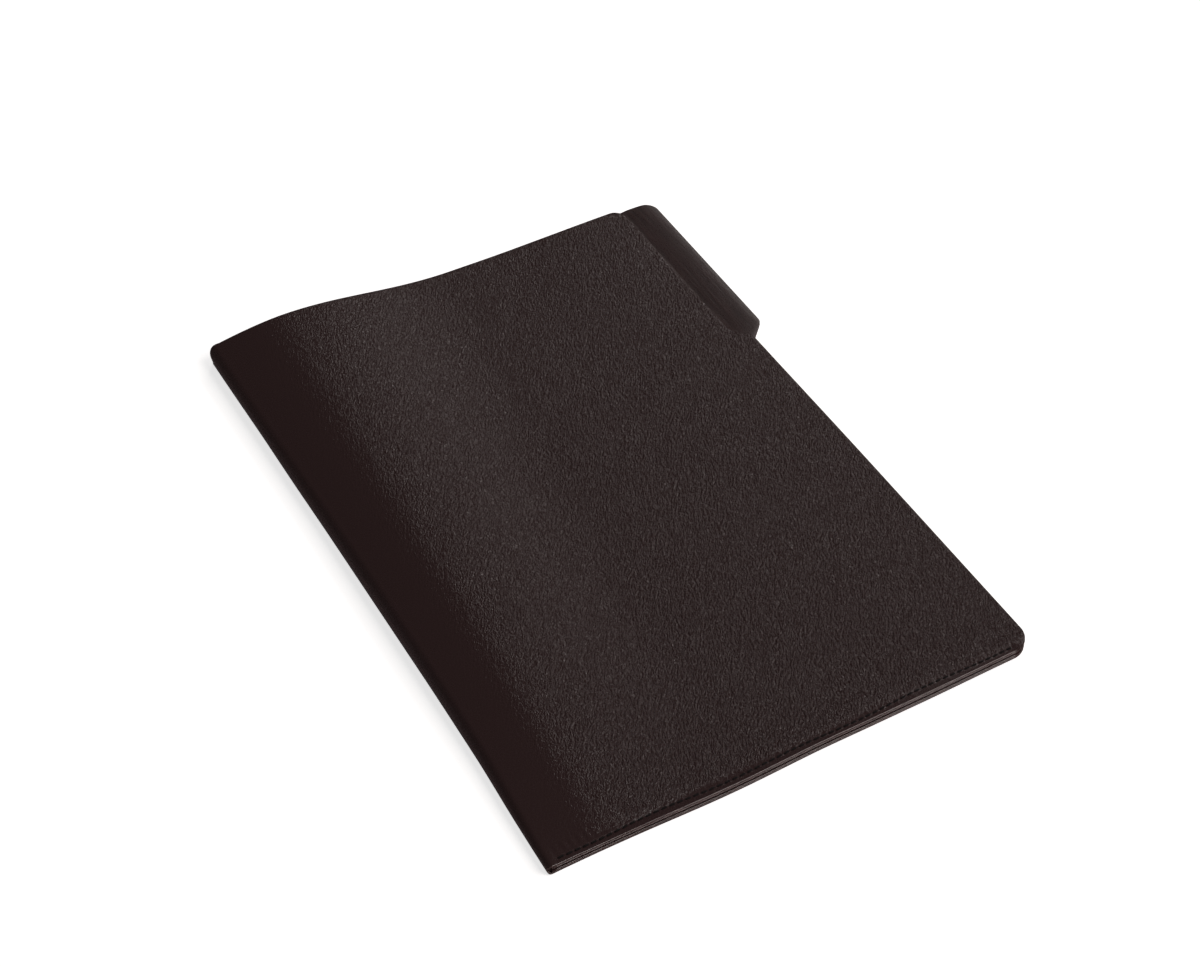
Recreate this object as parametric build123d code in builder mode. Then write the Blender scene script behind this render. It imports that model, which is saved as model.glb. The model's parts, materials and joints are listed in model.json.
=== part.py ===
from build123d import *
import os

# A4 document folder of dyed hide: two covers joined by a soft spine, a tab on the lower cover's
# fore edge, and a sewn pocket across the tail of each cover. It lies closed on its back cover.
#
# Frame, in millimetres: +X from the spine to the fore edge, +Y from the tail to the head, +Z up.
# The origin is at the middle of the underside, tab included.

os.makedirs("parts", exist_ok=True)

# ---- driving dimensions ----------------------------------------------------------------------
cover_length = 310.0  # tail to head
cover_width = 215.0  # spine to fore edge, without the tab
tab_reach = 9.5  # how far the tab stands past the fore edge
tab_foot_y = 49.5  # where the tab starts, above mid length
notch_depth = 7.5  # how far the front cover is cut back over the tab
notch_foot_y = 51.0  # where that cut starts

leather = 0.8  # outer hide
board = 0.3  # stiffener
lining = 0.5  # inner lining, and the tab's facing
pocket_leather = 0.7
glue_line = 0.05  # between glued layers
pocket_slack = 0.1  # between a pocket and its lining
inner_gap = 0.3  # between the two pockets, folder closed

tail_corner = 9.0  # plan radius at the tail of the fore edge
notch_corner = 5.0  # plan radius at the head of the front cover's notch
tab_corner = 6.5  # plan radius at the head of the tab
shoulder_corner = 3.0  # plan radius where tab and notch begin and end
spine_corner = 1.5  # plan radius beside the spine
pocket_corner = 5.0  # plan radius at a pocket's mouth

fold_clearance = 0.25  # between the spine's leather and each cover's, at the folds
lining_start = 3.0  # from the spine's outer face to the linings
board_margin = 4.5  # from a cover's edge to its stiffener
board_start = 6.0  # from the spine's outer face to the stiffeners
facing_overlap = 1.5  # how far the tab's facing runs in under the front cover
tab_board_margin = 2.5  # from the tab's edge to its own stiffener

spine_end_inset = 1.5  # the spine strip stops short of head and tail
tape = 0.2  # spine reinforcement
tape_inset = 0.4  # tape and spine lining, in from the spine strip's long edges

pocket_depth = 105.0  # tail edge to a pocket's mouth
pocket_start = 12.0  # from the spine's outer face to a pocket's side
pocket_fore_gap = 1.5  # from the fore edge to a pocket's side
sewn_width = 4.5  # strip of a pocket that the seam holds down
flap_gap = 0.2  # clear of that strip, so that the flap can turn

seam_inset = 2.5  # tail edge to the stitch line
seam_start = 3.0  # from the spine's outer face to the first stitch
seam_end_gap = 7.5  # from the fore edge to the last stitch
stitch_pitch = 3.3
stitch_length = 2.7
stitch_width = 0.45
stitch_thickness = 0.26
groove_width = 0.9
groove_depth = 0.34
stitch_clearance = 0.03  # between a stitch and its groove

# The front cover bows up behind the spine. The bow is full at the head and fades to nothing at
# the tail. Each station is a distance from where the cover's leather starts, and the rise there.
arch_stations = ((0.0, 0.0), (3.0, 3.6), (9.0, 5.4), (20.0, 7.1), (34.0, 7.9), (55.0, 6.3), (80.0, 2.8),
                 (102.0, 0.6), (120.0, 0.0))
arch_steps = 12  # spans of the curve that carries the arch to each layer
overrun = 4.0  # each layer is formed this much too large, then cut to its outline

# ---- worked out from those -------------------------------------------------------------------
overall_width = cover_width + tab_reach
head_y = cover_length / 2
tail_y = -cover_length / 2

fold_gap = leather + fold_clearance  # from an outer face round the corner to the next piece
board_depth = leather + glue_line
lining_depth = board_depth + board + glue_line
cover_thickness = lining_depth + lining
pocket_layer = cover_thickness + pocket_slack
cover_stack = pocket_layer + pocket_leather
closed_height = 2 * cover_stack + inner_gap
arch_height = max(rise for _, rise in arch_stations)
cut_height = closed_height + arch_height + overrun  # clears the highest layer

spine_height = closed_height - 2 * fold_gap
spine_length = cover_length - 2 * spine_end_inset
tape_height = spine_height - 2 * tape_inset
tape_foot = fold_gap + tape_inset
front_pocket_face = closed_height - cover_stack  # height of the front pocket's free face

sewn_edge_y = tail_y + sewn_width
pocket_mouth_y = tail_y + pocket_depth
facing_side = cover_width - notch_depth - facing_overlap
facing_foot_y = tab_foot_y - facing_overlap

seam_y = tail_y + seam_inset
seam_length = cover_width - seam_end_gap - seam_start
seam_middle = seam_start + seam_length / 2
stitch_count = int(seam_length / stitch_pitch)

# Plans are drawn with X counted from the spine's outer face, and Y as in the frame.
plan = Plane(origin=(-overall_width / 2, 0, 0))


def across(y):
    """The plane square to the spine at y, with its own X from the spine's face and its Y up."""
    return Plane(origin=(-overall_width / 2, y, 0), x_dir=(1, 0, 0), z_dir=(0, -1, 0))


def cover_outline(start, shoulder_y, step, head_corner):
    """A cover seen from above. Past shoulder_y its fore edge steps out, or in when step is negative."""
    shoulder_end_y = shoulder_y + abs(step)
    corners = [
        (start, tail_y),
        (cover_width, tail_y),
        (cover_width, shoulder_y),
        (cover_width + step, shoulder_end_y),
        (cover_width + step, head_y),
        (start, head_y),
    ]
    radii = [spine_corner, tail_corner, shoulder_corner, shoulder_corner, head_corner, spine_corner]
    with BuildSketch() as outline:
        with BuildLine():
            FilletPolyline(*corners, radius=radii, close=True)
        make_face()
    return outline.sketch


def back_outline():
    """The back cover with its tab."""
    return cover_outline(fold_gap, tab_foot_y, tab_reach, tab_corner)


def front_outline(start=0.0):
    """The front cover with its notch."""
    return cover_outline(start, notch_foot_y, -notch_depth, notch_corner)


def back_lining_outline():
    """The back cover's lining, which leaves the tab to its facing."""
    return cover_outline(lining_start, facing_foot_y, facing_side - cover_width, shoulder_corner)


def board_outline(cover):
    """A stiffener: a cover's outline brought in all round, and further in beside the spine."""
    with BuildSketch() as outline:
        add(cover)
        offset(amount=-board_margin)
        with Locations((board_start, 0)):
            Rectangle(cover_width, cover_length, align=(Align.MIN, Align.CENTER), mode=Mode.INTERSECT)
    return outline.sketch


def sewn_edge_outline():
    """The strip along the tail that a seam holds down."""
    with BuildSketch() as outline:
        add(front_outline(lining_start))
        with Locations((lining_start, tail_y)):
            Rectangle(cover_width, sewn_width, align=Align.MIN, mode=Mode.INTERSECT)
    return outline.sketch


def flap_outline():
    """A pocket's free part, from its hinge beside the seam to its mouth."""
    hinge_y = sewn_edge_y + flap_gap
    flap_width = cover_width - pocket_fore_gap - pocket_start
    with BuildSketch() as outline:
        with Locations((pocket_start, hinge_y)):
            Rectangle(flap_width, pocket_mouth_y - hinge_y, align=Align.MIN)
        fillet(outline.vertices().group_by(Axis.Y)[-1], radius=pocket_corner)
        add(front_outline(), mode=Mode.INTERSECT)
    return outline.sketch


def lay_out(outline, height=0.0):
    """An outline placed in the frame at a height, ready to be extruded upwards."""
    return plan.offset(height) * outline


def outer_line(lift):
    """The front cover's outer face cut square to the spine, with this share of the arch."""
    stations = [(fold_gap + x, closed_height + lift * rise) for x, rise in arch_stations]
    return Spline(*stations, mode=Mode.PRIVATE)


def line_below(line, depth):
    """Points that lie one depth under a line, square to it, closer together by the spine."""
    points = []
    for step in range(arch_steps + 1):
        place = (step / arch_steps) ** 2
        direction = line.tangent_at(place)
        points.append(line.position_at(place) + Vector(direction.Y, -direction.X) * depth)
    return points


def layer_section(y, depth, thickness):
    """One of the front cover's layers cut square to the spine at y."""
    outer = outer_line((y - tail_y) / cover_length)
    top = line_below(outer, depth)
    bottom = line_below(outer, depth + thickness)
    fore_top = (cover_width + overrun, closed_height - depth)
    fore_bottom = (cover_width + overrun, closed_height - depth - thickness)
    with BuildSketch(across(y)) as section:
        with BuildLine():
            Spline(*top)
            Line(top[-1], fore_top)
            Line(fore_top, fore_bottom)
            Line(fore_bottom, bottom[-1])
            Spline(*bottom)
            Line(bottom[0], top[0])
        make_face()
    return section.sketch


def end_sections(depth, thickness):
    """The same layer cut just past the tail and just past the head, to be joined by a ruled loft."""
    return [layer_section(y, depth, thickness) for y in (tail_y - overrun, head_y + overrun)]


def seam_channel():
    """The channel along the tail that a row of stitches lies in."""
    with BuildSketch() as channel:
        with Locations((seam_middle, seam_y)):
            SlotOverall(seam_length + groove_width, groove_width)
    return channel.sketch


def stitch_row():
    """One row of thread, each stitch a round-ended bar of its own."""
    with BuildSketch() as row:
        with Locations((seam_middle, seam_y)):
            with GridLocations(stitch_pitch, stitch_pitch, stitch_count, 1):
                SlotOverall(stitch_length, stitch_width)
    return row.sketch


def spine_strip(inner_face, thickness):
    """An upright strip along the spine, seen from above."""
    with BuildSketch() as strip:
        with Locations((inner_face, 0)):
            Rectangle(thickness, spine_length, align=(Align.MIN, Align.CENTER))
    return strip.sketch


# ---- back cover, lying on the table -----------------------------------------------------------
with BuildPart() as back_cover_leather:
    extrude(lay_out(back_outline()), amount=leather)
    extrude(lay_out(seam_channel()), amount=groove_depth, mode=Mode.SUBTRACT)
back_cover_leather.part.label = "back_cover_leather"
export_step(back_cover_leather.part, "parts/back_cover_leather.step")

with BuildPart() as back_stiffener:
    extrude(lay_out(board_outline(back_lining_outline()), board_depth), amount=board)
back_stiffener.part.label = "back_stiffener"
export_step(back_stiffener.part, "parts/back_stiffener.step")

with BuildPart() as back_lining:
    extrude(lay_out(back_lining_outline(), lining_depth), amount=lining)
back_lining.part.label = "back_lining"
export_step(back_lining.part, "parts/back_lining.step")

with BuildPart() as tab_facing:
    extrude(lay_out(back_outline(), lining_depth), amount=lining)
    extrude(lay_out(back_lining_outline(), lining_depth), amount=lining, mode=Mode.SUBTRACT)
    with BuildSketch(plan.offset(lining_depth)):
        with Locations((facing_side, head_y)):
            Rectangle(overall_width, head_y - facing_foot_y, align=(Align.MIN, Align.MAX))
    extrude(amount=lining, mode=Mode.INTERSECT)
tab_facing.part.label = "tab_facing"
export_step(tab_facing.part, "parts/tab_facing.step")

with BuildPart() as tab_stiffener:
    with BuildSketch(plan.offset(board_depth)):
        with Locations((facing_side, head_y - tab_board_margin)):
            Rectangle(
                overall_width - tab_board_margin - facing_side,
                head_y - tab_foot_y - tab_reach - 2 * tab_board_margin,
                align=(Align.MIN, Align.MAX),
            )
        fillet(vertices(), radius=shoulder_corner)
    extrude(amount=board)
tab_stiffener.part.label = "tab_stiffener"
export_step(tab_stiffener.part, "parts/tab_stiffener.step")

with BuildPart() as back_pocket_sewn_edge:
    extrude(lay_out(sewn_edge_outline(), pocket_layer), amount=pocket_leather)
    extrude(lay_out(seam_channel(), cover_stack - groove_depth), amount=groove_depth, mode=Mode.SUBTRACT)
back_pocket_sewn_edge.part.label = "back_pocket_sewn_edge"
export_step(back_pocket_sewn_edge.part, "parts/back_pocket_sewn_edge.step")

with BuildPart() as back_pocket_flap:
    extrude(lay_out(flap_outline(), pocket_layer), amount=pocket_leather)
back_pocket_flap.part.label = "back_pocket_flap"
export_step(back_pocket_flap.part, "parts/back_pocket_flap.step")

with BuildPart() as back_seam_needle_thread:
    extrude(
        lay_out(stitch_row(), groove_depth - stitch_clearance - stitch_thickness),
        amount=stitch_thickness,
    )
back_seam_needle_thread.part.label = "back_seam_needle_thread"
export_step(back_seam_needle_thread.part, "parts/back_seam_needle_thread.step")

with BuildPart() as back_seam_bobbin_thread:
    extrude(lay_out(stitch_row(), cover_stack - groove_depth + stitch_clearance), amount=stitch_thickness)
back_seam_bobbin_thread.part.label = "back_seam_bobbin_thread"
export_step(back_seam_bobbin_thread.part, "parts/back_seam_bobbin_thread.step")

# ---- spine, standing between the two covers ----------------------------------------------------
with BuildPart() as spine_leather:
    extrude(lay_out(spine_strip(0, leather), fold_gap), amount=spine_height)
spine_leather.part.label = "spine_leather"
export_step(spine_leather.part, "parts/spine_leather.step")

with BuildPart() as spine_reinforcement_tape:
    extrude(lay_out(spine_strip(leather + glue_line, tape), tape_foot), amount=tape_height)
spine_reinforcement_tape.part.label = "spine_reinforcement_tape"
export_step(spine_reinforcement_tape.part, "parts/spine_reinforcement_tape.step")

with BuildPart() as spine_lining:
    extrude(lay_out(spine_strip(leather + tape + 2 * glue_line, lining), tape_foot), amount=tape_height)
spine_lining.part.label = "spine_lining"
export_step(spine_lining.part, "parts/spine_lining.step")

# ---- front cover, bowed up behind the spine ----------------------------------------------------
with BuildPart() as front_cover_leather:
    loft(end_sections(0, leather), ruled=True)
    extrude(lay_out(front_outline()), amount=cut_height, mode=Mode.INTERSECT)
    extrude(
        lay_out(seam_channel(), closed_height - groove_depth),
        amount=2 * groove_depth,
        mode=Mode.SUBTRACT,
    )
front_cover_leather.part.label = "front_cover_leather"
export_step(front_cover_leather.part, "parts/front_cover_leather.step")

with BuildPart() as front_stiffener:
    loft(end_sections(board_depth, board), ruled=True)
    extrude(lay_out(board_outline(front_outline())), amount=cut_height, mode=Mode.INTERSECT)
front_stiffener.part.label = "front_stiffener"
export_step(front_stiffener.part, "parts/front_stiffener.step")

with BuildPart() as front_lining:
    loft(end_sections(lining_depth, lining), ruled=True)
    extrude(lay_out(front_outline(lining_start)), amount=cut_height, mode=Mode.INTERSECT)
front_lining.part.label = "front_lining"
export_step(front_lining.part, "parts/front_lining.step")

with BuildPart() as front_pocket_sewn_edge:
    loft(end_sections(pocket_layer, pocket_leather), ruled=True)
    extrude(lay_out(sewn_edge_outline()), amount=cut_height, mode=Mode.INTERSECT)
    extrude(
        lay_out(seam_channel(), front_pocket_face - groove_depth),
        amount=2 * groove_depth,
        mode=Mode.SUBTRACT,
    )
front_pocket_sewn_edge.part.label = "front_pocket_sewn_edge"
export_step(front_pocket_sewn_edge.part, "parts/front_pocket_sewn_edge.step")

with BuildPart() as front_pocket_flap:
    loft(end_sections(pocket_layer, pocket_leather), ruled=True)
    extrude(lay_out(flap_outline()), amount=cut_height, mode=Mode.INTERSECT)
front_pocket_flap.part.label = "front_pocket_flap"
export_step(front_pocket_flap.part, "parts/front_pocket_flap.step")

with BuildPart() as front_seam_needle_thread:
    extrude(lay_out(stitch_row(), closed_height - groove_depth + stitch_clearance), amount=stitch_thickness)
front_seam_needle_thread.part.label = "front_seam_needle_thread"
export_step(front_seam_needle_thread.part, "parts/front_seam_needle_thread.step")

with BuildPart() as front_seam_bobbin_thread:
    extrude(
        lay_out(stitch_row(), front_pocket_face + groove_depth - stitch_clearance - stitch_thickness),
        amount=stitch_thickness,
    )
front_seam_bobbin_thread.part.label = "front_seam_bobbin_thread"
export_step(front_seam_bobbin_thread.part, "parts/front_seam_bobbin_thread.step")
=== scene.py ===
import json
import math

import bpy
import numpy as np
from mathutils import Matrix, Vector


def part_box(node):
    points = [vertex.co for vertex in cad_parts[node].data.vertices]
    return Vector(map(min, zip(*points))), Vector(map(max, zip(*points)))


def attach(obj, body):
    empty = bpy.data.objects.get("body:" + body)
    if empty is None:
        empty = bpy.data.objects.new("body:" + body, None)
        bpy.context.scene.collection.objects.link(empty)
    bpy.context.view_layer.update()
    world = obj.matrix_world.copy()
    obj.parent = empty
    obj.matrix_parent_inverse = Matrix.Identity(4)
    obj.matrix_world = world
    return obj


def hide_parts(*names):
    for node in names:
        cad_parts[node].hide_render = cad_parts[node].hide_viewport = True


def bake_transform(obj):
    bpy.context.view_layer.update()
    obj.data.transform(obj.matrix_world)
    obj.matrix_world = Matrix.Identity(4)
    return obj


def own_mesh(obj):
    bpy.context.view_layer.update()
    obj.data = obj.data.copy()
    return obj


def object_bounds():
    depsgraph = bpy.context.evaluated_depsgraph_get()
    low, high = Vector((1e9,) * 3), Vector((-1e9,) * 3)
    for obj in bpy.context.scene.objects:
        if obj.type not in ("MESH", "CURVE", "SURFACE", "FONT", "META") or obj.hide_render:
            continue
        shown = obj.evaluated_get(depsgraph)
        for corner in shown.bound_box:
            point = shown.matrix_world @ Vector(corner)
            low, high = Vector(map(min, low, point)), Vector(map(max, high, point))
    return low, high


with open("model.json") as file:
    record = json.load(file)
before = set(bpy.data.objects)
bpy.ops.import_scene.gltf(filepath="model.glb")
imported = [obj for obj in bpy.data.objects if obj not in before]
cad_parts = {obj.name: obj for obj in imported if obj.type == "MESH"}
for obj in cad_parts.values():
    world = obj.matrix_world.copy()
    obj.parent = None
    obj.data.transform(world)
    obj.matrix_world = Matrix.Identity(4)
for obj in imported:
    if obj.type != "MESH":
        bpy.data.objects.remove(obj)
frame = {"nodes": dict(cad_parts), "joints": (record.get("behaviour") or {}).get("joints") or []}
cad_low, cad_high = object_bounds()

# A tabbed document folder of dyed hide, closed, lying on its back cover.
#
# Shapes are worked out in millimetres with x counted from the spine's outer face, y from the tail
# (negative) to the head (positive) and z up from the table. new_mesh() puts them in the frame.

MM = 0.001
SPINE = cad_low.x


def local(corner):
    """A corner from the frame as x from the spine, y and z, in millimetres."""
    return np.array([(corner.x - SPINE) / MM, corner.y / MM, corner.z / MM])


def node_box(node):
    """A CAD node's lowest and highest corner in millimetres, x from the spine."""
    low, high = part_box(node)
    return local(low), local(high)


joint_place = {joint["name"]: local(Vector(joint["pos_m"])) for joint in frame["joints"]}

# ---- sizes that come from the frame ------------------------------------------------------------
TAIL = local(cad_low)[1]
HEAD = local(cad_high)[1]
LENGTH = HEAD - TAIL
TAB = local(cad_high)[0]  # the tab's outer edge
COVER = node_box("back_lining")[1][0]  # the covers' fore edge
LEATHER = node_box("back_cover_leather")[1][2]
LINING_LOW = node_box("back_lining")[0][2]
LINING_TOP = node_box("back_lining")[1][2]
POCKET_START = node_box("back_pocket_flap")[0][0]
POCKET_FORE = node_box("back_pocket_flap")[1][0]
POCKET_MOUTH = node_box("back_pocket_flap")[1][1]
SEWN_EDGE = node_box("back_pocket_sewn_edge")[1][1]
FACING_SIDE, FACING_FOOT = node_box("tab_facing")[0][:2]
CLOSED = joint_place["spine_fold"][2] + joint_place["front_fold"][2]  # both folds lie equally deep
SEAM = (node_box("front_seam_needle_thread")[0][1] + node_box("front_seam_needle_thread")[1][1]) / 2
SEAM_START = node_box("front_seam_needle_thread")[0][0]
SEAM_END = node_box("front_seam_needle_thread")[1][0]
BOARD_START = node_box("back_stiffener")[0][0]

# ---- the leather worker's own sizes -------------------------------------------------------------
FACING_OVERLAP = 1.5  # the facing and the lining's slant lie this far under the front cover
NOTCH = FACING_SIDE + FACING_OVERLAP
TAB_FOOT = FACING_FOOT + FACING_OVERLAP
NOTCH_FOOT = TAB_FOOT + 1.5
TAIL_CORNER = 9.0
NOTCH_CORNER = 6.5
TAB_CORNER = 6.5
SPINE_CORNER = 3.0
SHOULDER_SOFTNESS = 0.7  # rounds the corners of the slants
BOARD = 0.3
TAPE = 0.15
LINING = LINING_TOP - LINING_LOW
LINING_START = 1.75  # the linings are turned in as far as the spine's own lining
LINING_CORNER = 1.0
POCKET_LEATHER = 0.6
POCKET_CORNER = 5.0
GLUE = 0.05
BURNISH = 0.34  # how far a cut edge is rubbed round
BURNISH_SHARE = 0.42  # of a thin leather's thickness, at most
BURNISH_ROOM = 0.42  # no row of points lies nearer than this to a cut edge
EDGE_DROP = 0.26  # a face drops this far at a cut edge
EDGE_REACH = 0.8  # and starts to fall about this far from it
FORE_STRIP = 6.0  # the strip along the fore edge with closer columns
FORE_COLUMNS = np.array([4.8, 3.8, 3.0, 2.3, 1.8, 1.35, 0.9, 0.45, 0.0])  # in from the fore edge
STITCH_PITCH = 3.3
STITCH_LENGTH = 2.75
THREAD = 0.82  # thread diameter
BOBBIN_SAG = 0.15  # a bobbin stitch's ends dip this far into the needle holes
NEEDLE_SAG = 0.36  # the front needle stitches' ends dip further
BACK_NEEDLE_SAG = 0.18
NEEDLE_SUNK = 0.27  # a needle stitch's middle lies this far inside the hide
BOBBIN_SUNK = 0.05  # and a bobbin stitch's this far inside the pocket
CHANNEL_WIDTH = 0.5
CHANNEL_DEPTH = 0.10  # between two needle holes
HOLE_DEPTH = 0.14  # extra, at a needle hole
PUCKER_DEPTH = 0.11
PRESSED_DEPTH = 0.16  # the strip along the seam is pressed down this far

CREST = 35.0  # the front cover's bow is highest this far from the spine
BOW_END = 118.0  # and has died out here
BOW_RISE = 9.2  # how high it stands at the head
HINGE_LINE = 4.95  # height of the line where the front cover's hide takes over from the spine's
MID_SPINE = 2.65
FOLD_RADIUS = 2.0  # the spine's lower corner
PRESSED_IN = 0.2  # the front face lies this far under the closed height
SETTLED = 1.15  # past the pockets' mouths the cover lies this much lower
SPINE_WAIST = 1.0  # the soft spine is drawn in this far at mid length
FOOT_TUCK = 0.45  # the spine's foot is tucked under by this, twice over at the head
TAIL_SPILL = 0.6  # and stands out by this at the tail
TAIL_BULGE = 1.25  # the tail edge stands out this far past the middle of the bow
FACING_CUSHION = 0.14  # the tab's facing is padded this high


def smooth(t):
    """A step from 0 to 1 as t does, flat at both ends."""
    t = np.clip(t, 0.0, 1.0)
    return t * t * (3 - 2 * t)


def hump(x, middle, width):
    """A bell that is 1 at the middle and falls to a third one width away."""
    return np.exp(-(((x - middle) / width) ** 2))


def soft_ramp(d, reach):
    """Distance d held between 0 and reach, with both corners rounded."""
    w = SHOULDER_SOFTNESS
    return w * (np.logaddexp(0, d / w) - np.logaddexp(0, (d - reach) / w))


def corner_cut(d, radius):
    """How far a round corner draws an edge in, at distance d from the corner's end."""
    inside = np.clip(radius - d, 0, radius)
    return radius - np.sqrt(np.maximum(radius**2 - inside**2, 0))


# ---- the outline of each cover in plan ----------------------------------------------------------
def stepped_edge(y, foot, reach, head_corner):
    """Fore edge: straight, then from foot a 45 degree slant out by reach (in if negative), then
    straight to a round head corner; the tail corner is round too."""
    x = COVER + np.sign(reach) * soft_ramp(y - foot, abs(reach))
    return x - corner_cut(y - TAIL, TAIL_CORNER) - corner_cut(HEAD - y, head_corner)


def front_edge(y):
    return stepped_edge(y, NOTCH_FOOT, NOTCH - COVER, NOTCH_CORNER)


def back_edge(y):
    return stepped_edge(y, TAB_FOOT, TAB - COVER, TAB_CORNER)


def lining_edge(y):
    return stepped_edge(y, FACING_FOOT, FACING_SIDE - COVER, LINING_CORNER)


def spine_waist(y):
    """How far the soft spine is drawn in: all of it at mid length, nothing at head and tail."""
    return SPINE_WAIST * smooth((HEAD - y) / 130) * smooth((y - TAIL + 6) / 62)


def tail_wander(x):
    """The tail edge isn't cut dead straight: it stands out past the middle of the bow, a little less
    further on and beside the spine, and is drawn in again towards the fore edge."""
    bulge = TAIL_BULGE * hump(x, 76, 34)
    beyond = 0.3 * smooth((x - 110) / 30) - 0.5 * smooth((x - 160) / 50)
    beside_spine = 0.3 * np.exp(-x / 10)
    return -bulge - beyond - beside_spine


def lie(x, y, z):
    """Moves points from the drawn plan to how the worn folder lies: waisted spine, tail edge, and the
    rounded ends of the spine, whose foot is tucked under at the head and spills out at the tail."""
    tuck_along = smooth((y + 110) / 60) + smooth((y - 60) / 50)
    tuck = FOOT_TUCK * tuck_along * smooth(1.2 - z / 7) * (1 - smooth(x / 40))
    spill = TAIL_SPILL * smooth((-90 - y) / 40) * (1 - smooth(x / 12))
    waist = spine_waist(y) * (1 - smooth(x / 60)) + tuck - spill
    tail = tail_wander(x) * np.exp(-(y - TAIL) / 30)
    near_head = smooth(1 - (HEAD - y) / 24)
    near_tail = smooth(1 - (y - TAIL) / 12)
    head_round = corner_cut(x, SPINE_CORNER) * near_head
    tail_round = corner_cut(x, 1.2) * near_tail
    tab_head = 0.45 * smooth((x - 206) / 6) * smooth(1 - (HEAD - y) / 30)
    return np.stack([x + waist, y + tail - head_round + tail_round + tab_head, z + 0 * x], -1)


# ---- how high each layer lies -------------------------------------------------------------------
def lift(y):
    """Share of the bow: none at the tail, rising fast at first, all of it at the head."""
    return 1 - (1 - np.clip((y - TAIL) / LENGTH, 0, 1)) ** 3.5


def bow(x, y):
    """The bow's cross section, 1 at its crest: a steep round shoulder by the spine and a long cosine
    slope towards the fore edge. It is narrower at the tail."""
    narrowing = 1 - np.clip((y - TAIL) / LENGTH, 0, 1)
    crest = CREST - 9 * narrowing
    end = BOW_END - 34 * narrowing
    near = 1 - 0.478 * np.clip(1 - x / crest, 0, 1) ** 1.66
    far = 0.5 * (1 + np.cos(math.pi * np.clip((x - crest) / (end - crest), 0, 1)))
    return np.where(x < crest, near, far)


def squeeze(x, y):
    """How far the stack is pressed together beside the spine at the tail."""
    return 1 - 0.10 * hump(x, 26, 26) * np.exp(-(y - TAIL) / 40)


def front_face(x, y):
    """Height of the front cover's outer face. Over the pockets it lies at the closed height; past
    their mouths it settles; the bow stands on that."""
    settled = smooth((y - POCKET_MOUTH) / 120)
    lower = SETTLED + 0.45 * hump(x, 142, 26) - 0.2 * smooth((x - 165) / 35)
    rest = CLOSED - PRESSED_IN - settled * lower
    return rest * squeeze(x, y) + BOW_RISE * lift(y) * bow(x, y)


def edge_distance(x, y, fore):
    """Distance to the nearest cut edge: tail, head or fore."""
    return np.minimum(np.minimum(y - TAIL, HEAD - y), fore - x)


def edge_roll(x, y, fore):
    """How far a face drops at its cut edges, where the leather is pared thin and rubbed over."""
    inside = np.maximum(edge_distance(x, y, fore), 0)
    return EDGE_DROP * np.exp(-((inside / EDGE_REACH) ** 1.4))


def under_board(x, y, fore):
    """Extra depth of what lies inside a stiffener: none at the cut edges, where there's no board."""
    return (BOARD + GLUE) * smooth((edge_distance(x, y, fore) - 1.5) / 4)


def seam_line(x):
    """The seam's own y. The hand that guided it wandered by half a millimetre."""
    return SEAM - 0.35 * np.sin(x / 9.5) * smooth(x / 30) - 0.25 * np.sin(x / 17 + 1)


def seam_dent(x, y):
    """The hide is drawn down into a channel along the seam, deeper at each needle hole, and puckers
    in short folds above it."""
    off = y - seam_line(x)
    along = (x - SEAM_START) / STITCH_PITCH
    in_seam = smooth((x - SEAM_START + 2) / 2) * smooth((SEAM_END + 2 - x) / 2)
    hole = 0.5 + 0.5 * np.cos(2 * math.pi * along)
    channel = (CHANNEL_DEPTH + HOLE_DEPTH * hole) * hump(off, 0, CHANNEL_WIDTH)
    fold = np.sin(2 * math.pi * (along + 0.35 * np.sin(x / 11) + 0.04 * off))
    pucker = PUCKER_DEPTH * fold * hump(off, 3.2, 2.6)
    pressed = PRESSED_DEPTH * smooth(1 - off / 5) * smooth((off + 3) / 2)
    return (channel + pucker + pressed) * in_seam


# ---- grids and meshes ---------------------------------------------------------------------------
def spread(low, high, step):
    """Evenly spaced values, no further apart than step."""
    return np.linspace(low, high, max(2, int(math.ceil((high - low) / step)) + 1))


def corner_rows(radius, count):
    """Distances from a round corner's end that are even in angle, so that the arc is even too. The
    first row after the cut edge stays far enough from it for the rubbed edge."""
    d = radius * (1 - np.cos(np.linspace(0, math.pi / 2, count)))
    return d[(d == 0) | (d > BURNISH_ROOM)]


def cover_rows(foot, head_corner):
    """Rows for a whole cover, closer at the tail corner and seam, the slants and the head corner."""
    tail = TAIL + corner_rows(TAIL_CORNER, 26)
    slant = spread(foot - 4, foot + 15, 0.8)
    head = HEAD - corner_rows(head_corner, 9)[::-1]
    middle_low = spread(tail[-1], slant[0], 2.4)[1:-1]
    middle_high = spread(slant[-1], head[0], 2.4)[1:-1]
    return np.concatenate([tail, middle_low, slant, middle_high, head])


def stretch_rows(start, end, count):
    """One row of x for each y, from its own start to its own end, closer together in the strip along
    the fore edge but leaving room for the rubbed edge."""
    s = np.linspace(0, 1, count)[None, :]
    wide = start[:, None] * (1 - s) + (end[:, None] - FORE_STRIP) * s
    strip = end[:, None] - FORE_COLUMNS
    return np.concatenate([wide, strip], 1)


def grid_normals(points):
    """Unit normals of a grid of points, from the slopes along both of its directions."""
    along = np.gradient(points, axis=1)
    across = np.gradient(points, axis=0)
    normals = np.cross(along, across)
    return normals / np.maximum(np.linalg.norm(normals, axis=-1, keepdims=True), 1e-9)


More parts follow.
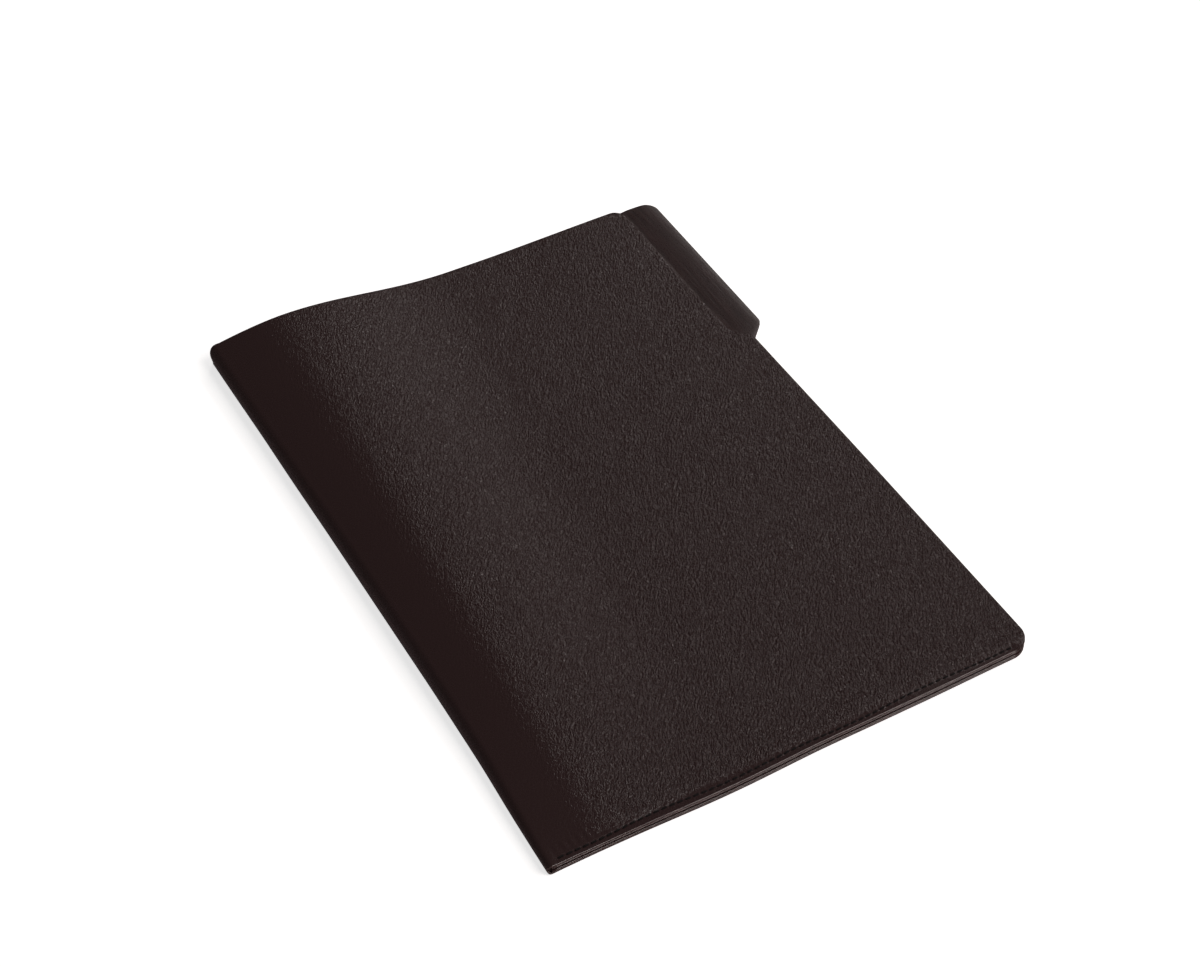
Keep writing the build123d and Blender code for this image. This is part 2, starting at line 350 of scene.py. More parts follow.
def new_mesh(name, points, faces, material):
    """Makes a smooth-shaded object from points in millimetres and a list of faces."""
    co = np.asarray(points, float).reshape(-1, 3) * MM
    co[:, 0] += SPINE
    mesh = bpy.data.meshes.new(name)
    mesh.from_pydata(co.tolist(), [], faces)
    mesh.polygons.foreach_set("use_smooth", np.ones(len(mesh.polygons), bool))
    mesh.materials.append(material)
    mesh.update()
    piece = bpy.data.objects.new(name, mesh)
    bpy.context.scene.collection.objects.link(piece)
    return piece


def grid_faces(rows, columns, flip=False):
    """The quads of a grid of points, wound so that they face the grid's own normals."""
    i = np.arange(rows * columns).reshape(rows, columns)
    quads = np.stack([i[:-1, :-1], i[:-1, 1:], i[1:, 1:], i[1:, :-1]], -1).reshape(-1, 4)
    return (quads[:, ::-1] if flip else quads).tolist()


def hide_sheet(name, points, thickness, material, sewn_sides=(), flip=False):
    """A grid of points as one face of a piece of leather: Solidify gives it its thickness behind that
    face, and Bevel rubs its cut edges round. A side in sewn_sides runs on into another piece and
    stays square."""
    rows, columns = points.shape[:2]
    piece = new_mesh(name, points, grid_faces(rows, columns, flip), material)
    mesh = piece.data
    ends = np.zeros(len(mesh.edges) * 2, np.int64)
    mesh.edges.foreach_get("vertices", ends)
    row, column = np.divmod(ends.reshape(-1, 2), columns)
    side = {
        "tail": (row == 0).all(1),
        "head": (row == rows - 1).all(1),
        "spine": (column == 0).all(1),
        "fore": (column == columns - 1).all(1),
    }
    rubbed = np.zeros(len(mesh.edges), np.float32)
    square = np.zeros(len(mesh.edges), bool)
    for key, edges in side.items():
        if key in sewn_sides:
            square |= edges
        else:
            rubbed[edges] = 1.0
    mesh.materials.append(edge_finish_and_highlight)
    mesh.attributes.new("bevel_weight_edge", "FLOAT", "EDGE").data.foreach_set("value", rubbed)
    mesh.attributes.new("sharp_edge", "BOOLEAN", "EDGE").data.foreach_set("value", square)
    solid = piece.modifiers.new("thickness", "SOLIDIFY")
    solid.thickness = thickness * MM
    solid.offset = -1
    solid.material_offset_rim = 1
    solid.use_even_offset = False
    solid.use_quality_normals = True
    bevel = piece.modifiers.new("burnish", "BEVEL")
    bevel.limit_method = "WEIGHT"
    bevel.width = min(BURNISH, thickness * BURNISH_SHARE) * MM
    bevel.segments = 3
    bevel.material = 1
    bevel.use_clamp_overlap = False
    bevel.harden_normals = True
    return piece


def inside_of(points, depth):
    """The same grid a depth behind its face, square to it."""
    return points - grid_normals(points) * np.broadcast_to(depth, points.shape[:2])[..., None]


# ---- materials ----------------------------------------------------------------------------------
GRAIN = 0.82  # millimetres across a pebble of the hide's grain
GRAIN_LEAN = math.radians(58)  # the grain's creases run this way across the cover
BAND = 2 * math.pi / 20 / MM  # a wave pattern's scale, times the millimetres between its bands
TAPE_THREAD = 1.77653  # millimetres between the tape's drawn threads
THREAD_TWIST = 0.27634  # millimetres between the turns of the sewing thread's twist
TIMES = {"operation": "MULTIPLY"}
TIMES_ADD = {"operation": "MULTIPLY_ADD"}


def linear(colour):
    """An sRGB hex colour as linear red, green, blue and alpha."""
    channels = [int(colour[i : i + 2], 16) / 255 for i in (1, 3, 5)]
    return [c / 12.92 if c <= 0.04045 else ((c + 0.055) / 1.055) ** 2.4 for c in channels] + [1.0]


def node(tree, kind, settings=None, links=None):
    """Adds a node. Its settings are properties, socket values or a colour ramp's two stops, each a
    position and a hex colour; its links are what feeds its inputs."""
    made = tree.nodes.new(kind)
    for key, value in (settings or {}).items():
        if key == "stops":
            for element, (position, colour) in zip(made.color_ramp.elements, value):
                element.position = position
                element.color = linear(colour)
        elif isinstance(key, str) and hasattr(made, key):
            setattr(made, key, value)
        else:
            made.inputs[key].default_value = value
    for key, source in (links or {}).items():
        tree.links.new(source, made.inputs[key])
    return made


def new_material(name):
    """An empty material with its output and a Principled shader."""
    material = bpy.data.materials.new(name)
    material.use_nodes = True
    tree = material.node_tree
    tree.nodes.clear()
    shader = tree.nodes.new("ShaderNodeBsdfPrincipled")
    output = tree.nodes.new("ShaderNodeOutputMaterial")
    tree.links.new(shader.outputs[0], output.inputs[0])
    return material, tree, shader


def pebbled_hide(name, dark, light, depth, gloss):
    """Drum-dyed cowhide, chrome tanned, tumbled and lightly finished. The eye sees close pebbles just
    under a millimetre across, parted by fine creases that lean one way, a soft broken shine on their
    crowns, and some longer wrinkles. The grain is looser towards the tail. It is pulled flat where
    the hide turns over the spine, and pressed flat outside the seam."""
    material, tree, shader = new_material(name)
    place = node(tree, "ShaderNodeTexCoord").outputs["Object"]
    drift = node(tree, "ShaderNodeTexNoise", {"Scale": 1 / (2.4 * MM), "Detail": 2.0}, {"Vector": place})
    shifted = node(tree, "ShaderNodeVectorMath", TIMES_ADD | {1: (1.6 * MM,) * 3},
                   {0: drift.outputs["Color"], 2: place}).outputs[0]

    # each pattern is drawn out along the grain's lean by its own ratio
    lean = {"vector_type": "TEXTURE", "Rotation": (0, 0, GRAIN_LEAN)}
    long_pebbles = node(tree, "ShaderNodeMapping", lean | {"Scale": (1.7, 1, 1)}, {"Vector": shifted})
    long_wrinkles = node(tree, "ShaderNodeMapping", lean | {"Scale": (2.8, 1, 1)}, {"Vector": shifted})
    long_swells = node(tree, "ShaderNodeMapping", lean | {"Scale": (1.5, 1, 1)}, {"Vector": place})
    pebbles = node(tree, "ShaderNodeTexVoronoi", {"feature": "DISTANCE_TO_EDGE", "Scale": 1 / (GRAIN * MM)},
                   {"Vector": long_pebbles.outputs[0]})
    wrinkles = node(tree, "ShaderNodeTexNoise",
                    {"Scale": 1 / (0.85 * MM), "Detail": 1.5, "Roughness": 0.45},
                    {"Vector": long_wrinkles.outputs[0]})
    swells = node(tree, "ShaderNodeTexNoise", {"Scale": 1 / (4 * MM), "Detail": 2.0},
                  {"Vector": long_swells.outputs[0]})
    step = {"interpolation_type": "SMOOTHSTEP"}
    crown = node(tree, "ShaderNodeMapRange", step | {"From Max": 0.26},
                 {"Value": pebbles.outputs["Distance"]}).outputs[0]
    crease = node(tree, "ShaderNodeMapRange", step | {"From Min": 0.34, "From Max": 0.66},
                  {"Value": wrinkles.outputs["Fac"]}).outputs[0]
    crowns = node(tree, "ShaderNodeMath", TIMES | {1: 0.42}, {0: crown}).outputs[0]
    creased = node(tree, "ShaderNodeMath", TIMES_ADD | {1: 0.75}, {0: crease, 2: crowns}).outputs[0]
    grain = node(tree, "ShaderNodeMath", TIMES_ADD | {1: 0.9},
                 {0: swells.outputs["Fac"], 2: creased}).outputs[0]

    # how much of the grain shows at each place
    parts = node(tree, "ShaderNodeSeparateXYZ", links={"Vector": place})
    slack = node(tree, "ShaderNodeMapRange",
                 step | {"From Min": SPINE + 10 * MM, "From Max": SPINE + 46 * MM,
                         "To Min": 0.10, "To Max": 1.0},
                 {"Value": parts.outputs["X"]}).outputs[0]
    loose = node(tree, "ShaderNodeMapRange",
                 {"From Min": HEAD * MM, "From Max": TAIL * MM, "To Min": 0.75, "To Max": 1.45},
                 {"Value": parts.outputs["Y"]}).outputs[0]
    pressed = node(tree, "ShaderNodeMapRange",
                   step | {"From Min": (TAIL + 2) * MM, "From Max": (TAIL + 6) * MM,
                           "To Min": 0.12, "To Max": 1.0},
                   {"Value": parts.outputs["Y"]}).outputs[0]
    free = node(tree, "ShaderNodeMath", TIMES, {0: slack, 1: pressed}).outputs[0]
    share = node(tree, "ShaderNodeMath", TIMES, {0: free, 1: loose}).outputs[0]
    height = node(tree, "ShaderNodeMath", TIMES, {0: grain, 1: share}).outputs[0]
    relief = node(tree, "ShaderNodeBump", {"Strength": 1.0, "Distance": depth * MM}, {"Height": height})

    # crowns coloured paler: rubbed-off dye plus a painted highlight for their glints; dye in soft patches
    ridges = node(tree, "ShaderNodeMath", TIMES, {0: crown, 1: crease}).outputs[0]
    rubbed = node(tree, "ShaderNodeMath", TIMES, {0: ridges, 1: free}).outputs[0]
    patch = node(tree, "ShaderNodeTexNoise", {"Scale": 1 / (30 * MM), "Detail": 3.0}, {"Vector": place})
    patches = node(tree, "ShaderNodeMath", TIMES | {1: 0.2}, {0: patch.outputs["Fac"]}).outputs[0]
    dye_and_glint = node(tree, "ShaderNodeMath", TIMES_ADD | {1: 0.8}, {0: rubbed, 2: patches}).outputs[0]
    colour = node(tree, "ShaderNodeValToRGB", {"stops": [(0.1, dark), (0.95, light)]}, {"Fac": dye_and_glint})
    rough = node(tree, "ShaderNodeMapRange", {"To Min": gloss + 0.14, "To Max": gloss - 0.03},
                 {"Value": crown})
    tree.links.new(colour.outputs[0], shader.inputs["Base Color"])
    tree.links.new(rough.outputs[0], shader.inputs["Roughness"])
    tree.links.new(relief.outputs[0], shader.inputs["Normal"])
    shader.inputs["IOR"].default_value = 1.42
    return material


def smooth_calf(name, dark, light, gloss):
    """Vegetable-tanned calf with its grain glazed flat. The eye sees a nearly smooth skin with fine
    lengthwise streaks from glazing and very small pores."""
    material, tree, shader = new_material(name)
    place = node(tree, "ShaderNodeTexCoord").outputs["Object"]
    streaked = node(tree, "ShaderNodeMapping", {"Scale": (1.0, 0.06, 1.0)}, {"Vector": place})
    streak = node(tree, "ShaderNodeTexNoise", {"Scale": 1 / (1.4 * MM), "Detail": 4.0, "Roughness": 0.6},
                  {"Vector": streaked.outputs[0]})
    pores = node(tree, "ShaderNodeTexNoise", {"Scale": 1 / (0.6 * MM), "Detail": 3.0}, {"Vector": place})
    half_pores = node(tree, "ShaderNodeMath", TIMES | {1: 0.5}, {0: pores.outputs["Fac"]}).outputs[0]
    height = node(tree, "ShaderNodeMath", TIMES_ADD | {1: 0.5},
                  {0: streak.outputs["Fac"], 2: half_pores}).outputs[0]
    relief = node(tree, "ShaderNodeBump", {"Strength": 1.0, "Distance": 0.12 * MM}, {"Height": height})
    colour = node(tree, "ShaderNodeValToRGB", {"stops": [(0.3, dark), (0.75, light)]},
                  {"Fac": streak.outputs["Fac"]})
    rough = node(tree, "ShaderNodeMapRange", {"To Min": gloss - 0.05, "To Max": gloss + 0.12},
                 {"Value": pores.outputs["Fac"]})
    tree.links.new(colour.outputs[0], shader.inputs["Base Color"])
    tree.links.new(rough.outputs[0], shader.inputs["Roughness"])
    tree.links.new(relief.outputs[0], shader.inputs["Normal"])
    shader.inputs["IOR"].default_value = 1.38
    return material


def burnished_edge_and_highlight(name):
    """A cut leather edge, dyed, rubbed with a bone and waxed. The eye sees a smooth line, a little
    paler than the hide, with a clear shine where it turns to the light. The paler colour is partly
    edge paint and partly a painted highlight for that shine."""
    material, tree, shader = new_material(name)
    place = node(tree, "ShaderNodeTexCoord").outputs["Object"]
    rubbing = node(tree, "ShaderNodeTexNoise", {"Scale": 1 / (2.5 * MM), "Detail": 3.0}, {"Vector": place})
    # paler than the hide: partly edge paint, partly a painted highlight
    colour = node(tree, "ShaderNodeValToRGB", {"stops": [(0.35, "#3d2c2b"), (0.7, "#574442")]},
                  {"Fac": rubbing.outputs["Fac"]})
    rough = node(tree, "ShaderNodeMapRange", {"To Min": 0.10, "To Max": 0.24},
                 {"Value": rubbing.outputs["Fac"]})
    tree.links.new(colour.outputs[0], shader.inputs["Base Color"])
    tree.links.new(rough.outputs[0], shader.inputs["Roughness"])
    shader.inputs["Coat Weight"].default_value = 1.0
    shader.inputs["Coat Roughness"].default_value = 0.12
    return material


def fibre_board(name):
    """Bonded leather fibre board, rolled flat. The eye sees mottled brown fibres and no shine."""
    material, tree, shader = new_material(name)
    place = node(tree, "ShaderNodeTexCoord").outputs["Object"]
    fibres = node(tree, "ShaderNodeTexNoise", {"Scale": 1 / (0.9 * MM), "Detail": 5.0, "Roughness": 0.7},
                  {"Vector": place})
    relief = node(tree, "ShaderNodeBump", {"Strength": 0.6, "Distance": 0.05 * MM},
                  {"Height": fibres.outputs["Fac"]})
    colour = node(tree, "ShaderNodeValToRGB", {"stops": [(0.3, "#5a4634"), (0.7, "#7d6650")]},
                  {"Fac": fibres.outputs["Fac"]})
    tree.links.new(colour.outputs[0], shader.inputs["Base Color"])
    tree.links.new(relief.outputs[0], shader.inputs["Normal"])
    shader.inputs["Roughness"].default_value = 0.9
    return material


def woven_tape(name):
    """Cotton tape, plain woven. Its real threads are about 0.3 mm apart; they are drawn coarser, at
    TAPE_THREAD, so that they show. The eye sees a fine dull check."""
    material, tree, shader = new_material(name)
    place = node(tree, "ShaderNodeTexCoord").outputs["Object"]
    warp = node(tree, "ShaderNodeTexWave", {"bands_direction": "Y", "Scale": BAND / TAPE_THREAD},
                {"Vector": place})
    weft = node(tree, "ShaderNodeTexWave", {"bands_direction": "Z", "Scale": BAND / TAPE_THREAD},
                {"Vector": place})
    weave = node(tree, "ShaderNodeMath", TIMES, {0: warp.outputs["Fac"], 1: weft.outputs["Fac"]}).outputs[0]
    relief = node(tree, "ShaderNodeBump", {"Strength": 0.7, "Distance": 0.08 * MM}, {"Height": weave})
    colour = node(tree, "ShaderNodeValToRGB", {"stops": [(0.0, "#2b2624"), (1.0, "#4a423e")]},
                  {"Fac": weave})
    tree.links.new(colour.outputs[0], shader.inputs["Base Color"])
    tree.links.new(relief.outputs[0], shader.inputs["Normal"])
    shader.inputs["Roughness"].default_value = 0.95
    return material


def waxed_thread(name):
    """Bonded nylon thread, dyed black and waxed. The eye sees a dark twist with a very faint shine."""
    material, tree, shader = new_material(name)
    place = node(tree, "ShaderNodeTexCoord").outputs["Object"]
    turned = node(tree, "ShaderNodeMapping", {"Rotation": (0, 0, math.radians(40))}, {"Vector": place})
    twist = node(tree, "ShaderNodeTexWave", {"bands_direction": "X", "Scale": BAND / THREAD_TWIST},
                 {"Vector": turned.outputs[0]})
    relief = node(tree, "ShaderNodeBump", {"Strength": 0.8, "Distance": 0.08 * MM},
                  {"Height": twist.outputs["Fac"]})
    colour = node(tree, "ShaderNodeValToRGB", {"stops": [(0.0, "#0b0808"), (1.0, "#1c1616")]},
                  {"Fac": twist.outputs["Fac"]})
    tree.links.new(colour.outputs[0], shader.inputs["Base Color"])
    tree.links.new(relief.outputs[0], shader.inputs["Normal"])
    shader.inputs["Roughness"].default_value = 0.6
    shader.inputs["Specular IOR Level"].default_value = 0.2
    return material


# the second, lighter colour goes on the crowns and is partly a painted highlight
hide = pebbled_hide("pebbled_cowhide", "#392a2a", "#3c2e2e", 0.20, 0.15)
skiver = pebbled_hide("fine_skiver", "#2e1f1c", "#3d2b27", 0.06, 0.55)
calf = smooth_calf("glazed_calf", "#281b1b", "#3d2b2b", 0.26)
edge_finish_and_highlight = burnished_edge_and_highlight("burnished_edge_and_highlight")
board = fibre_board("fibre_board")
tape = woven_tape("cotton_tape")
thread = waxed_thread("waxed_nylon_thread")


# ---- outer hide ---------------------------------------------------------------------------------
def shoulder(y):
    """The upper corner of the spine as a quarter ellipse: where it leaves the spine's face, how far
    it reaches over the front cover, and the share of a quarter turn at which it passes the hinge
    line."""
    start = HINGE_LINE - 2.0 + 1.5 * lift(y) ** 0.6
    reach = 2.0 + 3.0 * lift(y) ** 0.7
    top = front_face(reach, y)
    turn = np.arcsin(np.clip((HINGE_LINE - start) / (top - start), 0, 0.965))
    return start, reach, top, turn


def on_shoulder(y, angle):
    """Points of that quarter ellipse for each y and each angle."""
    start, reach, top, _ = shoulder(y)
    x = reach[:, None] * (1 - np.cos(angle))
    z = start[:, None] + (top - start)[:, None] * np.sin(angle)
    return x, z


def front_hide_points(rows, columns):
    """The front cover's outer face: from the hinge line round the shoulder, then out over the bow to
    the fore edge, with the seam drawn into it."""
    _, reach, _, turn = shoulder(rows)
    s = np.linspace(0, 1, 9)[None, :]
    round_x, round_z = on_shoulder(rows, turn[:, None] + (math.pi / 2 - turn[:, None]) * s)
    x = stretch_rows(reach, front_edge(rows), columns)[:, 1:]
    y = rows[:, None] + 0 * x
    z = front_face(x, y) - seam_dent(x, y) - edge_roll(x, y, front_edge(y))
    x = np.concatenate([round_x, x], 1)
    z = np.concatenate([round_z, z], 1)
    return lie(x, rows[:, None] + 0 * x, z)


def spine_hide_points(rows):
    """The spine's outer face: up from its middle, then round the shoulder to the hinge line."""
    start, _, _, turn = shoulder(rows)
    upright = np.linspace(0, 1, 5)[None, :-1]
    flat_z = MID_SPINE + (start[:, None] - MID_SPINE) * upright
    round_x, round_z = on_shoulder(rows, turn[:, None] * np.linspace(0, 1, 9)[None, :])
    x = np.concatenate([0 * flat_z, round_x], 1)
    z = np.concatenate([flat_z, round_z], 1)
    return lie(x, rows[:, None] + 0 * x, z)


def back_hide_points(rows, columns):
    """The back cover's outer face: down from the middle of the spine, round the lower corner (a
    quarter circle), then flat along the table to the fore edge and the tab."""
    radius = FOLD_RADIUS
    upright_z = np.linspace(MID_SPINE, radius, 3)[:-1]
    angle = np.linspace(0, math.pi / 2, 9)
    side_x = np.concatenate([0 * upright_z, radius * (1 - np.cos(angle))])
    side_z = np.concatenate([upright_z, radius * (1 - np.sin(angle))])
    x = stretch_rows(np.full(len(rows), radius), back_edge(rows), columns)[:, 1:]
    z = 0 * x
    x = np.concatenate([np.broadcast_to(side_x, (len(rows), len(side_x))), x], 1)
    z = np.concatenate([np.broadcast_to(side_z, (len(rows), len(side_z))), z], 1)
    return lie(x, rows[:, None] + 0 * x, z)


front_rows = cover_rows(NOTCH_FOOT, NOTCH_CORNER)
back_rows = cover_rows(TAB_FOOT, TAB_CORNER)

front_hide = hide_sheet(
    "front_cover_hide", front_hide_points(front_rows, 236), LEATHER, hide, sewn_sides=("spine",))
spine_hide = hide_sheet(
    "spine_hide", spine_hide_points(front_rows), LEATHER, hide, sewn_sides=("spine", "fore"))
back_hide = hide_sheet(
    "back_cover_hide", back_hide_points(back_rows, 150), LEATHER, hide, sewn_sides=("spine",), flip=True)


# ---- what lies inside the front cover -----------------------------------------------------------
def front_layer_points(rows, start, fore, columns, depth):
    """A layer inside the front cover: the outer face's own grid from start to fore, moved in by the
    depth, squeezed where the stack is."""
    x = stretch_rows(start, fore, columns)
    y = rows[:, None] + 0 * x
    points = lie(x, y, front_face(x, y))
    return inside_of(points, depth(x, y) * squeeze(x, y))


def front_lining_depth(x, y):
    """Tight against the hide at the edges, under the board elsewhere."""
    return LEATHER + GLUE + under_board(x, y, front_edge(y))


front_lining_start = np.maximum(shoulder(front_rows)[1] * 0.65, LINING_START)
front_lining = hide_sheet(
    "front_cover_lining",
    front_layer_points(front_rows, front_lining_start, front_edge(front_rows), 110, front_lining_depth),
    LINING, skiver)
board_rows = spread(TAIL + 4.5, HEAD - 4.5, 4)
board_fore = front_edge(board_rows) - 4.5
front_board = hide_sheet(
    "front_cover_board",
    front_layer_points(board_rows, np.full(len(board_rows), BOARD_START), board_fore, 60,
                       lambda x, y: LEATHER + GLUE + 0 * x),
    BOARD * 0.9, board)


# ---- linings and pockets ------------------------------------------------------------------------
def flat_points(rows, start, fore, columns, height):
    """A flat layer between two edges, its height given for each x and y."""
    x = stretch_rows(start, fore, columns)
    y = rows[:, None] + 0 * x
    return lie(x, y, height(x, y) * squeeze(x, y))


def back_lining_height(x, y):
    """Top of the back lining: low at the cut edges, up over the board elsewhere."""
    return LEATHER + GLUE + LINING + under_board(x, y, back_edge(y))


back_lining_start = np.full(len(back_rows), LINING_START)
back_lining = hide_sheet(
    "back_cover_lining",
    flat_points(back_rows, back_lining_start, lining_edge(back_rows), 110, back_lining_height),
    LINING, skiver)


def facing_height(x, y):
    """Top of the tab's facing: level over its board, very slightly padded, low at its cut edge."""
    across = np.clip((back_edge(y) - x) / 15, 0, 1)
    drop = 0.25 * np.exp(-edge_distance(x, y, back_edge(y)) / 1.1)
    cushion = FACING_CUSHION * np.sin(math.pi * across**0.8)
    return LEATHER + LINING + BOARD + 2 * GLUE + cushion - drop


facing_rows = np.concatenate([
    spread(TAB_FOOT + 0.6, TAB_FOOT + 15, 0.8),
    spread(TAB_FOOT + 15, HEAD - TAB_CORNER, 2.4)[1:-1],
    HEAD - corner_rows(TAB_CORNER, 12)[::-1],
])
tab_facing = hide_sheet(
    "tab_facing_calf",
    flat_points(facing_rows, lining_edge(facing_rows) + 0.05, back_edge(facing_rows), 24, facing_height),
    LINING, calf)


def pocket_start(y):
    """A pocket's spine side: under the seam it runs on to the lining's edge, then curves in."""
    return LINING_START + (POCKET_START - LINING_START) * smooth((y - SEWN_EDGE) / 9)


def pocket_fore(y):
    """A pocket's fore side, rounded where its mouth begins and following the cover at the tail."""
    return np.minimum(front_edge(y), POCKET_FORE) - corner_cut(POCKET_MOUTH - y, POCKET_CORNER)


pocket_rows = np.concatenate([
    TAIL + corner_rows(TAIL_CORNER, 16),
    spread(TAIL + TAIL_CORNER, POCKET_MOUTH - POCKET_CORNER, 2.5)[1:-1],
    POCKET_MOUTH - corner_rows(POCKET_CORNER, 8)[::-1],
])


def back_pocket_height(x, y):
    """Top of the back pocket, lying on the lining."""
    return back_lining_height(x, y) + GLUE + POCKET_LEATHER


def front_pocket_height(x, y):
    """Top of the front pocket: tight under the lining at the seam, then hanging level."""
    stack = LEATHER + LINING + 2 * GLUE + under_board(x, y, front_edge(y))
    return CLOSED - PRESSED_IN - stack - GLUE


back_pocket = hide_sheet(
    "back_pocket",
    flat_points(pocket_rows, pocket_start(pocket_rows), pocket_fore(pocket_rows), 100, back_pocket_height),
    POCKET_LEATHER, calf)
front_pocket = hide_sheet(
    "front_pocket",
    flat_points(pocket_rows, pocket_start(pocket_rows), pocket_fore(pocket_rows), 100, front_pocket_height)
    - np.array([0, 0, POCKET_LEATHER]),
    POCKET_LEATHER, calf, flip=True)


# ---- spine's inside -----------------------------------------------------------------------------
def spine_strip_points(rows, inner, low, high):
    """An upright strip inside the spine, facing the covers' inside."""
    z = np.linspace(low, high, 7)[None, :] + 0 * rows[:, None]
    return lie(inner + 0 * z, rows[:, None] + 0 * z, z)


spine_rows = spread(TAIL + 0.8, HEAD - 5, 3)
tape_low, tape_high = node_box("spine_reinforcement_tape")
spine_tape = hide_sheet(
    "spine_tape", spine_strip_points(spine_rows, tape_low[0], tape_low[2], tape_high[2]),
    TAPE, tape, flip=True)
spine_lining = hide_sheet(
    "spine_lining_strip", spine_strip_points(spine_rows, tape_high[0] + LINING, tape_low[2], tape_high[2]),
    LINING, skiver, flip=True)


# ---- stitches -----------------------------------------------------------------------------------
def stitch_row(name, height, sag, material):
    """A row of stitches. Each is a round thread of eight sides along a path of nine points that dips
    by sag into the needle hole at both ends; every stitch has its own small turn and offset."""
    count = int((SEAM_END - SEAM_START) / STITCH_PITCH) + 1
    middle = SEAM_START + STITCH_LENGTH / 2 + STITCH_PITCH * np.arange(count)
    jitter = np.random.default_rng(7).uniform(-1, 1, (count, 2))
    along = np.linspace(-1, 1, 9)
    around = np.linspace(0, 2 * math.pi, 8, endpoint=False)
    radius = THREAD / 2 * np.sqrt(np.maximum(1 - 0.75 * along**6, 0.05))
    path_x = middle[:, None] + STITCH_LENGTH / 2 * along
    path_y = seam_line(path_x) + 0.10 * along * (1 + 0.5 * jitter[:, :1]) + 0.05 * jitter[:, 1:]
    path_z = height(path_x, path_y) - sag * along**4
    x = path_x[..., None] + 0 * around
    y = path_y[..., None] + radius[:, None] * np.cos(around)
    z = path_z[..., None] + radius[:, None] * np.sin(around)
    points = lie(x, y, z)
    ring = np.arange(8)
    first = (np.arange(count)[:, None, None] * 9 + np.arange(8)[None, :, None]) * 8
    a = first + ring
    b = first + (ring + 1) % 8
    quads = np.stack([a, a + 8, b + 8, b], -1).reshape(-1, 4).tolist()
    caps = [(72 * i + ring[::-1]).tolist() for i in range(count)]
    ends = [(72 * i + 64 + ring).tolist() for i in range(count)]
    return new_mesh(name, points, quads + caps + ends, material)


def front_needle_height(x, y):
    """Sunk a little into the front cover's face."""
    return front_face(x, y) - NEEDLE_SUNK


def front_bobbin_height(x, y):
    """Half sunk into the underside of the front pocket."""
    return front_pocket_height(x, y) * squeeze(x, y) - POCKET_LEATHER + BOBBIN_SUNK


def back_bobbin_height(x, y):
    """Half sunk into the top of the back pocket."""
    return back_pocket_height(x, y) * squeeze(x, y) - BOBBIN_SUNK


def back_needle_height(x, y):
    """Sunk as far into the back cover's outer face."""
    return NEEDLE_SUNK + 0 * x


front_needle = stitch_row("front_seam_needle_stitches", front_needle_height, NEEDLE_SAG, thread)
front_bobbin = stitch_row("front_seam_bobbin_stitches", front_bobbin_height, -BOBBIN_SAG, thread)
back_bobbin = stitch_row("back_seam_bobbin_stitches", back_bobbin_height, BOBBIN_SAG, thread)
back_needle = stitch_row("back_seam_needle_stitches", back_needle_height, -BACK_NEEDLE_SAG, thread)


def flatten(piece):
    """A front layer rides on the front cover and gets its own copy of its mesh."""
    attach(piece, "front_cover")
    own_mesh(piece)


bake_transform(back_hide)
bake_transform(spine_hide)
flatten(front_hide)
flatten(front_board)
flatten(front_lining)
flatten(front_needle)
for strip in (spine_tape, spine_lining):
    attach(strip, "spine")
for flat in (back_lining, tab_facing, back_bobbin, back_needle):
    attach(flat, "back_cover")
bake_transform(back_pocket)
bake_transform(front_pocket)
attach(front_bobbin, "front_cover")

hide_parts("front_cover_leather")
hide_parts("spine_leather")
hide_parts("back_cover_leather")
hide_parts("front_stiffener")
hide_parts("front_lining")
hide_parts("back_lining")
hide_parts("tab_facing")
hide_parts("spine_reinforcement_tape")
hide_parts("spine_lining")
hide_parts("back_pocket_flap", "back_pocket_sewn_edge")
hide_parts("front_pocket_flap", "front_pocket_sewn_edge")
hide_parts("front_seam_needle_thread")
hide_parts("front_seam_bobbin_thread")
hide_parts("back_seam_needle_thread")
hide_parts("back_seam_bobbin_thread")

for name in ("back_stiffener", "tab_stiffener"):
    kept = frame["nodes"][name].data
    kept.materials.clear()
    kept.materials.append(board)

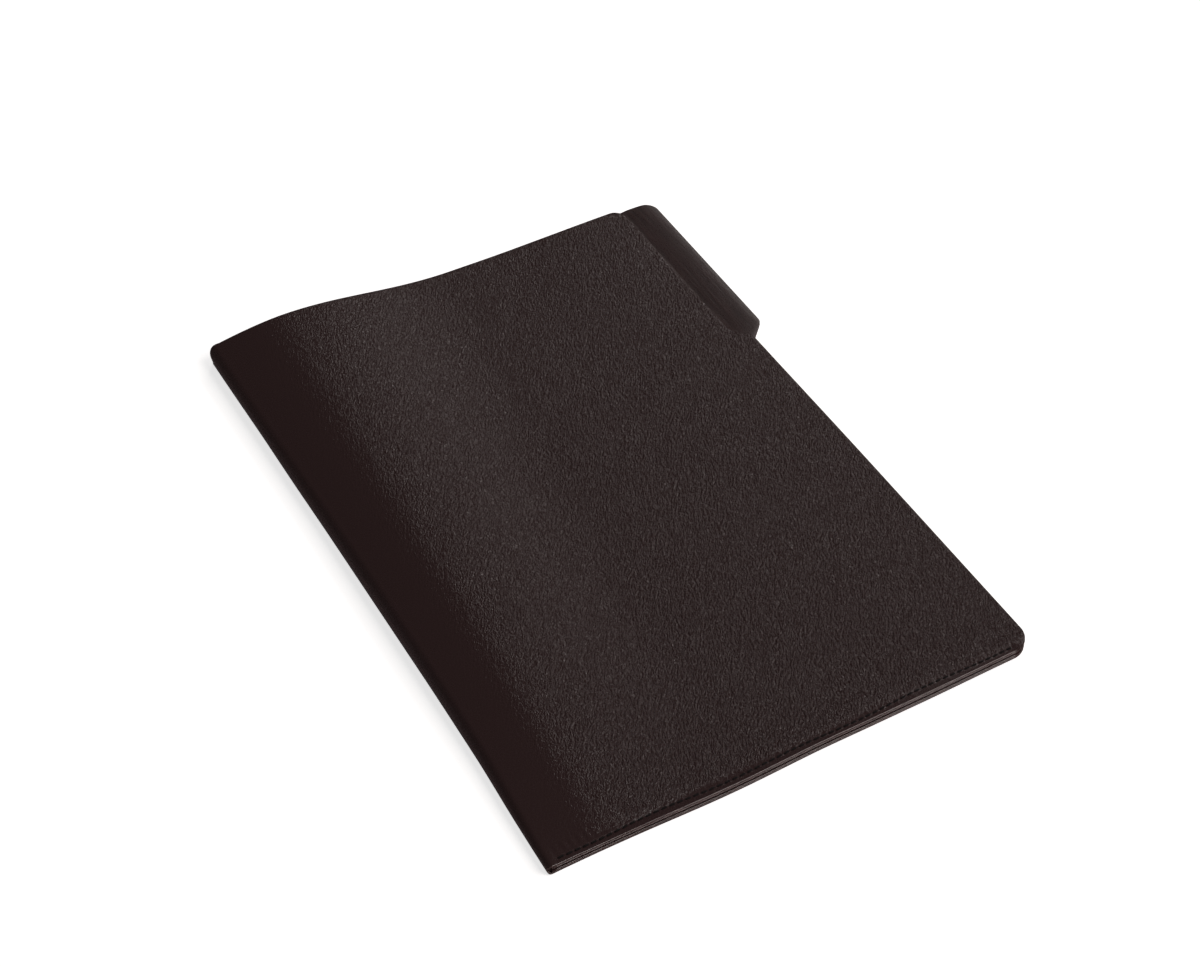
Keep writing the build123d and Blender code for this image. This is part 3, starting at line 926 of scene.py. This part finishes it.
# ---- floor, light and camera --------------------------------------------------------------------
floor_mesh = bpy.data.meshes.new("floor")
floor_mesh.from_pydata([(-4, -4, 0), (4, -4, 0), (4, 4, 0), (-4, 4, 0)], [], [(0, 1, 2, 3)])  # metres
floor = bpy.data.objects.new("floor", floor_mesh)
bpy.context.scene.collection.objects.link(floor)
floor.location.z = -0.2 * MM  # just clear of the back cover
paper, _, paper_shader = new_material("white_paper_sweep")
paper_shader.inputs["Base Color"].default_value = linear("#f4f4f4")
paper_shader.inputs["Roughness"].default_value = 0.9
paper_shader.inputs["Emission Color"].default_value = (1, 1, 1, 1)
paper_shader.inputs["Emission Strength"].default_value = 0.73
floor_mesh.materials.append(paper)
floor.visible_glossy = False

world = bpy.data.worlds.new("studio")
bpy.context.scene.world = world
world.use_nodes = True
world.node_tree.nodes["Background"].inputs["Color"].default_value = (1, 1, 1, 1)
world.node_tree.nodes["Background"].inputs["Strength"].default_value = 0.03


def softbox(name, place, turn, width, length, watts):
    """A rectangular studio light that faces down and is then turned about X and Y, in degrees. Its
    length lies along Y."""
    light = bpy.data.lights.new(name, "AREA")
    light.shape = "RECTANGLE"
    light.size = width
    light.size_y = length
    light.energy = watts
    light.color = (1.0, 0.93, 0.9)
    lamp = bpy.data.objects.new(name, light)
    lamp.location = place
    lamp.rotation_euler = [math.radians(angle) for angle in turn]
    bpy.context.scene.collection.objects.link(lamp)
    return lamp


softbox("front_right", (3.2, -3.0, 4.8), (32, 34, 0), 4.0, 4.0, 210)
softbox("back_right", (1.95, 1.4, 1.65), (0, 50, 0), 0.50, 3.0, 17)

azimuth, elevation, roll = (math.radians(a) for a in (-29.7056, 45.5735, 0.2397))
distance = 0.99202
look_at = Vector((SPINE + 112.838 * MM, 7.132 * MM, 0))
back = Vector((math.sin(azimuth) * math.cos(elevation), -math.cos(azimuth) * math.cos(elevation),
               math.sin(elevation)))
right = Vector((0, 0, 1)).cross(back).normalized()
up = back.cross(right)
right, up = right * math.cos(roll) + up * math.sin(roll), up * math.cos(roll) - right * math.sin(roll)
camera_data = bpy.data.cameras.new("camera")
camera_data.sensor_width = 36
camera_data.lens = 71.525
camera_data.clip_start = 0.01
camera = bpy.data.objects.new("camera", camera_data)
turned = Matrix((right, up, back)).transposed().to_4x4()
camera.matrix_world = Matrix.Translation(look_at + back * distance) @ turned
bpy.context.scene.collection.objects.link(camera)
bpy.context.scene.camera = camera

settings = bpy.context.scene.view_settings
settings.view_transform = "Standard"
settings.look = "None"
